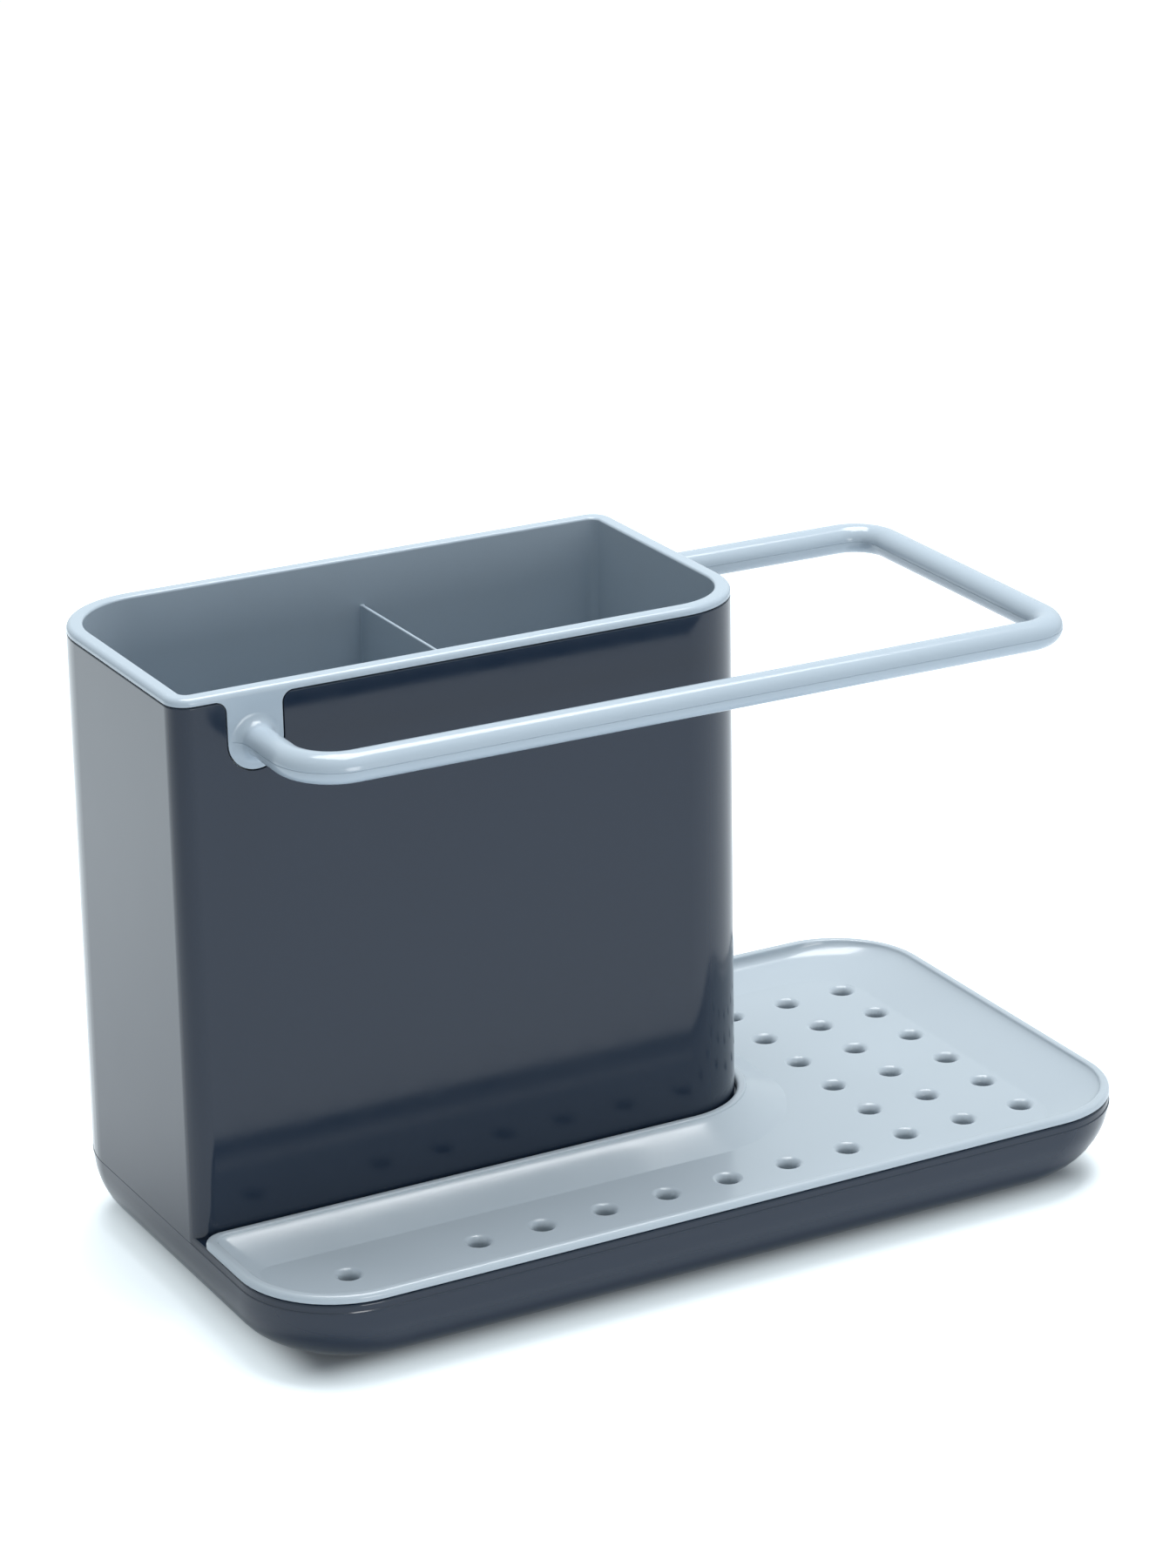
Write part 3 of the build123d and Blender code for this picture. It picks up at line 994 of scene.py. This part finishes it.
@dataclass
class ClothRail:
    """The round rail, which swells where it grows out of its two tabs."""

    plan: Plan
    radius: float = 3.2
    tube_steps: int = 40
    root_radius: float = 5.4
    root_length: float = 2.6
    root_steps: int = 8
    sunk: float = 0.4
    front_reach: float = 23.4
    right_reach: float = 59.0
    front_bend: float = 10.0
    end_bend: float = 8.3
    bend_steps: int = 16
    seam_half: float = 0.12
    seam_proud: float = 0.1
    seam_tolerance: float = 0.001
    least_lean: float = 0.5
    droop: float = 0.0072

    def build(self) -> Piece:
        """Build the rail.

        Returns:
            The piece, which stands for its CAD node.
        """
        plan = self.plan
        level = plan.rail_z
        out = plan.stand_out(level)
        start = Vector((plan.front_tab_x, plan.sleeve_top.front - out, level))
        front_y = plan.sleeve_top.front - self.front_reach
        far_x = plan.sleeve_top.right + self.right_reach - self.end_bend
        centres = [
            Vector((start.x + self.front_bend, front_y + self.front_bend, level)),
            Vector((far_x, front_y + self.end_bend, level)),
            Vector((far_x, plan.right_tab_y - self.end_bend, level)),
        ]
        ways = [
            Vector((0.0, centres[0].y - (start.y - self.root_length), 0.0)),
            Vector((far_x - centres[0].x, 0.0, 0.0)),
            Vector((0.0, centres[2].y - centres[1].y, 0.0)),
            Vector((plan.sleeve_top.right + out + self.root_length - far_x, 0.0, 0.0)),
        ]
        form = bmesh.new()
        ring = bmesh.ops.create_circle(
            form,
            cap_ends=True,
            segments=self.tube_steps,
            radius=self.root_radius,
            matrix=Matrix.Translation(start + Vector((0.0, self.sunk, 0.0)))
            @ Matrix.Rotation(math.pi / 2, 4, "X"),
        )["verts"]
        ring = self._root(form, ring, Vector((0.0, -1.0, 0.0)), swelling=False)
        for way, centre in zip(ways, centres):
            ring = self._turn(form, self._run(form, ring, way), centre)
        ring = self._run(form, ring, ways[-1])
        ring = self._root(form, ring, Vector((-1.0, 0.0, 0.0)), swelling=True)
        bmesh.ops.contextual_create(form, geom=ring_edges(ring))
        self._seam(form)
        self._sag(form)
        return add_piece("rail_tube", to_mesh(form, "rail_tube"), "cloth_rail", "liner")

    def _run(self, form: Form, ring: Ring, way: Vector) -> Ring:
        """Extrude the tube's end straight on.

        Args:
            form: The rail's form.
            ring: The tube's end.
            way: How far and where to.

        Returns:
            The new end.
        """
        fresh = extrude(form, ring_edges(ring))
        bmesh.ops.translate(form, vec=way, verts=fresh)
        return fresh

    def _turn(self, form: Form, ring: Ring, centre: Vector) -> Ring:
        """Spin the tube's end by a quarter turn to the left.

        Args:
            form: The rail's form.
            ring: The tube's end.
            centre: The middle of the bend.

        Returns:
            The new end.
        """
        spun = bmesh.ops.spin(
            form,
            geom=ring_edges(ring) + ring,
            cent=centre,
            axis=(0.0, 0.0, 1.0),
            angle=math.pi / 2,
            steps=self.bend_steps,
            use_merge=False,
            use_duplicate=False,
        )["geom_last"]
        return new_verts(spun)

    def _root(self, form: Form, ring: Ring, way: Vector, swelling: bool) -> Ring:
        """Grow the hollow-curved root of the rail.

        Args:
            form: The rail's form.
            ring: The tube's end.
            way: The direction to grow in.
            swelling: Whether the tube grows into a tab, or else out of one.

        Returns:
            The new end.
        """
        spread = self.root_radius - self.radius
        stops = [
            (self.root_length * (1 - cosine), self.radius + spread * (1 - sine))
            for sine, cosine in arc_steps(self.root_steps)
        ]
        walked, wide = -self.sunk, self.root_radius
        if swelling:
            stops = [(self.root_length - length, radius) for length, radius in reversed(stops)]
            stops = stops[1:] + [(self.root_length + self.sunk, self.root_radius)]
            walked, wide = 0.0, self.radius
        for length, radius in stops:
            ring = self._run(form, ring, way * (length - walked))
            centre = sum((vert.co for vert in ring), Vector()) / len(ring)
            size = radius / wide
            bmesh.ops.scale(
                form, vec=(size, size, size), space=Matrix.Translation(-centre), verts=ring
            )
            walked, wide = length, radius
        return ring

    def _seam(self, form: Form) -> None:
        """Raise the fine seam of the mould along the tube's middle.

        Args:
            form: The rail's form.
        """
        level, near = self.plan.rail_z, self.seam_tolerance
        edges = [
            edge
            for edge in form.edges
            if all(abs(vert.co.z - level) < near for vert in edge.verts)
            and len(edge.link_faces) == 2
            and all(len(face.verts) == 4 for face in edge.link_faces)
        ]
        bevel(form, edges, self.seam_half, "EDGES", 2)
        form.normal_update()
        for vert in form.verts:
            outward = Vector((vert.normal.x, vert.normal.y, 0.0))
            if abs(vert.co.z - level) < near and outward.length > self.least_lean:
                vert.co += outward.normalized() * self.seam_proud

    def _sag(self, form: Form) -> None:
        """Let the rail hang a little, the more the further it is from its two roots.

        Args:
            form: The rail's form.
        """
        plan = self.plan
        first = Vector((plan.front_tab_x, plan.sleeve_top.front, 0.0))
        second = Vector((plan.sleeve_top.right, plan.right_tab_y, 0.0))
        along = (second - first).normalized()
        for vert in form.verts:
            away = vert.co - first
            distance = away.x * along.y - away.y * along.x
            vert.co.z -= self.droop * max(distance, 0.0)


@dataclass
class DripTray:
    """The pale L-shaped tray with its rounded lip, hollow sides and drain holes.

    The coves are the widths of its hollow sides: left, front, right, back and at the sleeve.
    Their bends tell how steeply each falls at its top: 1 is a straight slope.
    """

    plan: Plan
    top_z: float = 20.4
    floor_z: float = 15.5
    under_z: float = 14.0
    sleeve_gap: float = 0.45
    lip: float = 2.1
    lip_round: float = 1.0
    lip_chamfer: float = 0.15
    lip_steps: int = 7
    inner_round: float = 0.5
    inner_steps: int = 4
    seat_inset: float = 0.8
    body_inset: float = 1.85
    body_steps: int = 8
    coves: tuple[float, ...] = (5.0, 4.0, 14.3, 10.0, 9.0)
    bends: tuple[float, ...] = (2.0, 2.0, 1.7, 3.2, 1.2)
    cove_arc: tuple[float, float] = (16.0, 77.0)
    cove_steps: int = 14
    foot_tightening: float = 6.0
    end_turn: float = 4.6
    end_limit: float = 2.5
    hole_pitch: float = 14.67
    first_hole: tuple[float, float] = (81.8, -37.75)
    columns: int = 3
    rows: int = 6
    front_places: tuple[int, ...] = (3, 4, 5, 6, 7, 8, 9, 11)
    hole_steps: int = 28
    mouth_flare: tuple[tuple[float, float], ...] = ((0.5, -0.8), (0.1, -0.02))
    mouth_radius: float = 3.4
    mouth_depth: float = 1.9
    mouth_steps: int = 9
    throat_radius: float = 1.9
    throat_taper: float = 0.15
    throat_overrun: float = 1.0
    spout_depth: float = 3.3
    spout_wall: float = 1.0
    spout_root: tuple[tuple[float, float], ...] = ((0.3, -0.3), (0.1, 0.2))
    spout_edge: float = 0.2

    def build(self) -> Piece:
        """Build the tray.

        Returns:
            The piece, which stands for its CAD node.
        """
        dish = stack([self._outline(*level) for level in self._levels()], "dish")
        steps = [
            (Cut.ADD, self._round_tools(self._spout_stops(), "spouts")),
            (Cut.TAKE, self._round_tools(self._drain_stops(), "drains")),
        ]
        return add_piece("tray_moulding", carve(dish, steps), "drip_tray", "tray")

    def _hole_places(self) -> Stops:
        """List the drain holes: a block in the right part, and a long row at the front.

        Returns:
            The x and y of each hole.
        """
        x, y = self.first_hole
        pitch = self.hole_pitch
        block = [
            (x - pitch * column, y + pitch * row)
            for column in range(self.columns)
            for row in range(self.rows)
        ]
        return block + [(x - pitch * place, y) for place in self.front_places]

    def _outline(self, inset: float, share: float, z: float) -> list[Vector]:
        """Work out the tray's L outline.

        Args:
            inset: The distance inside the bowl's skin.
            share: How far down the coves it is, from 0 at their top to 1.
            z: The height.

        Returns:
            The outline's points.
        """
        plan = self.plan
        left, front, right, back, sleeve = (
            width * share**bend for width, bend in zip(self.coves, self.bends)
        )
        bowl = plan.bowl.drawn_in(inset)
        sides = Sides(bowl.left + left, bowl.front + front, bowl.right - right, bowl.back - back)
        inner = self.sleeve_gap + inset
        x = plan.sleeve_foot.right + inner + sleeve
        y = plan.sleeve_foot.front - inner - sleeve
        turn = plan.bowl_turn - inset - self.foot_tightening * share**2
        end = self.end_turn - min(inner, self.end_limit) / 2
        radii = (turn, turn, turn, end, plan.foot_turns[1] + inner + sleeve, end)
        return outline(sides.turns(radii, x, y), z)

    def _levels(self) -> list[Place]:
        """List the tray's levels from its floor, over its lip, to its underside.

        Returns:
            The inset, the share of the coves and the height of each.
        """
        rim_z = self.plan.rim_z
        cove_top = self.top_z - self.inner_round
        levels = [
            (self.lip, share, cove_top - (cove_top - self.floor_z) * share)
            for share in reversed(self._cove_shares())
        ]
        inside = edge_round(self.top_z, self.inner_round, self.inner_steps)[1:]
        levels += [(self.lip - inset, 0.0, z) for inset, z in inside]
        outside = edge_round(self.top_z, self.lip_round, self.lip_steps)
        levels += [(inset, 0.0, z) for inset, z in reversed(outside)]
        shadow = rim_z + self.plan.shadow_gap
        levels += [
            (0.0, 0.0, shadow + self.lip_chamfer),
            (self.lip_chamfer, 0.0, shadow),
            (self.seat_inset, 0.0, shadow),
            (self.seat_inset, 0.0, rim_z),
        ]
        levels += [
            (self.body_inset, sine, rim_z - (rim_z - self.under_z) * sine)
            for sine, _ in arc_steps(self.body_steps)
        ]
        return levels

    def _cove_shares(self) -> list[float]:
        """List how far down each step of a cove is.

        Returns:
            The shares from 0 to 1, which close up at the cove's foot.
        """
        start, end = (math.radians(angle) for angle in self.cove_arc)
        angles = [start + (end - start) * step / self.cove_steps for step in range(self.cove_steps)]
        span = math.sin(end) - math.sin(start)
        return [(math.sin(angle) - math.sin(start)) / span for angle in angles] + [1.0]

    def _drain_stops(self) -> Stops:
        """List the rings of a drain hole, from above the floor down.

        Returns:
            The radius and the depth of each.
        """
        spread = self.mouth_radius - self.throat_radius
        stops = [(self.mouth_radius + wider, depth) for wider, depth in self.mouth_flare]
        stops += [
            (self.mouth_radius - spread * sine, self.mouth_depth * (1 - cosine))
            for sine, cosine in arc_steps(self.mouth_steps)[1:]
        ]
        end = self.spout_depth + self.throat_overrun
        return stops + [(self.throat_radius - self.throat_taper, end)]

    def _spout_stops(self) -> Stops:
        """List the rings of the short spout below a hole, from the top down.

        Returns:
            The radius and the depth of each.
        """
        outside = self.throat_radius + self.spout_wall
        thick = self.floor_z - self.under_z
        edge = self.spout_edge
        stops = [(outside + wider, thick + lower) for wider, lower in self.spout_root]
        return stops + [(outside, self.spout_depth - edge), (outside - edge, self.spout_depth)]

    def _round_tools(self, stops: Stops, name: str) -> Mesh:
        """Shape one round solid at each hole's place.

        Args:
            stops: The radius of each ring and its depth below the floor, from the top down.
            name: The mesh's name.

        Returns:
            The mesh with all the solids.
        """
        form = bmesh.new()
        for place in self._hole_places():
            radius, depth = stops[0]
            ring = bmesh.ops.create_circle(
                form,
                cap_ends=True,
                segments=self.hole_steps,
                radius=radius,
                matrix=Matrix.Translation((*place, self.floor_z - depth)),
            )["verts"]
            space = Matrix.Translation((-place[0], -place[1], 0.0))
            for wide, deep in stops[1:]:
                ring = extrude(form, ring_edges(ring))
                bmesh.ops.translate(form, vec=(0.0, 0.0, depth - deep), verts=ring)
                size = wide / radius
                bmesh.ops.scale(form, vec=(size, size, 1.0), space=space, verts=ring)
                radius, depth = wide, deep
            bmesh.ops.contextual_create(form, geom=ring_edges(ring))
        return to_mesh(form, name)


def add_piece(name: str, mesh: Mesh, node: str, body: str) -> Piece:
    """Put a finished mesh in the scene in the place of a CAD node.

    Args:
        name: The piece's name.
        mesh: Its mesh, in metres.
        node: The CAD node that it stands for.
        body: The body that it moves with.

    Returns:
        The piece, smooth but for its sharp edges.
    """
    mesh.name = name
    mesh.shade_smooth()
    mesh.set_sharp_from_angle(angle=math.radians(SHARP_DEGREES))
    piece = bpy.data.objects.new(name, mesh)
    bpy.context.scene.collection.objects.link(piece)
    weights = piece.modifiers.new("even_shading", "WEIGHTED_NORMAL")
    weights.keep_sharp = True
    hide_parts(node)
    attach(piece, body)
    LOG.info("built %s: %d faces", name, len(mesh.polygons))
    return piece


@dataclass(frozen=True)
class MouldedPlastic:
    """Glossy moulded plastic, a little uneven in tone, in gloss and in its surface.

    Each noise is a scale, in cycles to the metre, and a detail.

    Attributes:
        name: The material's name.
        colour: Its colour, in linear light.
        drift: How far the colour drifts over the piece, as a share.
        gloss: The least and the greatest roughness.
        ior: The index of refraction.
        wave: The height of the slow waves left by the mould, in metres.
        grain: The height of the fine grain, in metres.
        drift_noise: The noise of the colour.
        gloss_noise: The noise of the gloss.
        gloss_span: The values of that noise with the least and the greatest roughness.
        wave_noise: The noise of the slow waves.
        grain_noise: The noise of the fine grain.
    """

    name: str
    colour: Place
    drift: float = 0.02
    gloss: tuple[float, float] = (0.14, 0.2)
    ior: float = 1.5
    wave: float = 0.00006
    grain: float = 0.000003
    drift_noise: tuple[float, float] = (22.0, 2.0)
    gloss_noise: tuple[float, float] = (140.0, 3.0)
    gloss_span: tuple[float, float] = (0.3, 0.7)
    wave_noise: tuple[float, float] = (30.0, 1.0)
    grain_noise: tuple[float, float] = (900.0, 2.0)

    def build(self) -> bpy.types.Material:
        """Make the material.

        Returns:
            The material, patterned on Object coordinates.
        """
        material = bpy.data.materials.new(self.name)
        material.use_nodes = True
        tree = material.node_tree
        shader = tree.nodes["Principled BSDF"]
        set_inputs(shader, {"IOR": self.ior})
        place = tree.nodes.new("ShaderNodeTexCoord").outputs["Object"]
        tone = tree.nodes.new("ShaderNodeMix")
        tone.data_type = "RGBA"
        for end, change in (("A", -self.drift), ("B", self.drift)):
            tone.inputs[end].default_value = (*(part * (1.0 + change) for part in self.colour), 1.0)
        tree.links.new(self._noise(tree, place, self.drift_noise), tone.inputs["Factor"])
        tree.links.new(tone.outputs["Result"], shader.inputs["Base Color"])
        gloss = tree.nodes.new("ShaderNodeMapRange")
        set_inputs(gloss, dict(zip(SPAN, self.gloss_span + self.gloss)))
        tree.links.new(self._noise(tree, place, self.gloss_noise), gloss.inputs["Value"])
        tree.links.new(gloss.outputs["Result"], shader.inputs["Roughness"])
        waves = self._bump(tree, self._noise(tree, place, self.wave_noise), self.wave)
        grain = self._bump(tree, self._noise(tree, place, self.grain_noise), self.grain)
        tree.links.new(waves.outputs["Normal"], grain.inputs["Normal"])
        tree.links.new(grain.outputs["Normal"], shader.inputs["Normal"])
        return material

    @staticmethod
    def _noise(tree: Tree, place: Socket, kind: tuple[float, float]) -> Socket:
        """Add a noise.

        Args:
            tree: The material's node tree.
            place: The coordinates.
            kind: The noise's scale and detail.

        Returns:
            The socket with the noise's value.
        """
        noise = tree.nodes.new("ShaderNodeTexNoise")
        set_inputs(noise, dict(zip(("Scale", "Detail"), kind)))
        tree.links.new(place, noise.inputs["Vector"])
        return noise.outputs["Fac"]

    @staticmethod
    def _bump(tree: Tree, height: Socket, distance: float) -> bpy.types.Node:
        """Raise the surface by a pattern.

        Args:
            tree: The material's node tree.
            height: The pattern.
            distance: The greatest height, in metres.

        Returns:
            The bump node.
        """
        bump = tree.nodes.new("ShaderNodeBump")
        set_inputs(bump, {"Distance": distance, "Strength": 1.0})
        tree.links.new(height, bump.inputs["Height"])
        return bump


class Finish(Enum):
    """The finishes of the caddy."""

    SLATE = MouldedPlastic("slate_plastic", (0.008, 0.018, 0.038), 0.04, (0.1, 0.15))
    PALE = MouldedPlastic("pale_plastic", (0.44, 0.51, 0.57))
    # Painted shade: a slightly darker copy of the pale plastic, its tone matched to the shade
    # inside the cup, worn by the liner and the rail.
    PALE_SHADED_COPY = MouldedPlastic("pale_plastic_shaded_copy", (0.41, 0.49, 0.565))
    RUBBER = MouldedPlastic(
        "black_rubber",
        (0.02, 0.02, 0.022),
        0.1,
        (0.55, 0.7),
        1.45,
        0.00002,
        0.00003,
        grain_noise=(1500.0, 2.0),
    )


def dress(piece: Piece, material: bpy.types.Material) -> None:
    """Give a new piece its finish.

    Args:
        piece: The piece.
        material: The finish's material.
    """
    piece.data.materials.clear()
    piece.data.materials.append(material)
    LOG.info("dressed %s as %s", piece.name, material.name)


def dress_node(node: str, material: bpy.types.Material) -> None:
    """Give a CAD node its finish.

    Args:
        node: The node's name.
        material: The finish to put on every slot.
    """
    for slot in frame["nodes"][node].material_slots:
        slot.material = material
    LOG.info("dressed node %s", node)


def main() -> None:
    """Build the studio and the caddy's pieces."""
    logging.basicConfig(level=logging.INFO, format="%(name)s: %(message)s")
    PhotoCamera().build()
    Studio().build()
    materials = {finish: finish.value.build() for finish in Finish}
    plan = Plan()
    makers = (
        (OuterHousing(plan), Finish.SLATE, "dark_plastic"),
        (InnerLiner(plan), Finish.PALE_SHADED_COPY, "light_plastic"),
        (ClothRail(plan), Finish.PALE_SHADED_COPY, "light_plastic"),
        (DripTray(plan), Finish.PALE, "light_plastic"),
    )
    for maker, finish, slot in makers:
        dress(maker.build(), materials[finish])
    for sub in frame["record"]["subparts"]:
        if sub["node"] not in REPLACED:
            dress_node(sub["node"], materials[Finish.RUBBER])


if __name__ == "__main__":
    main()
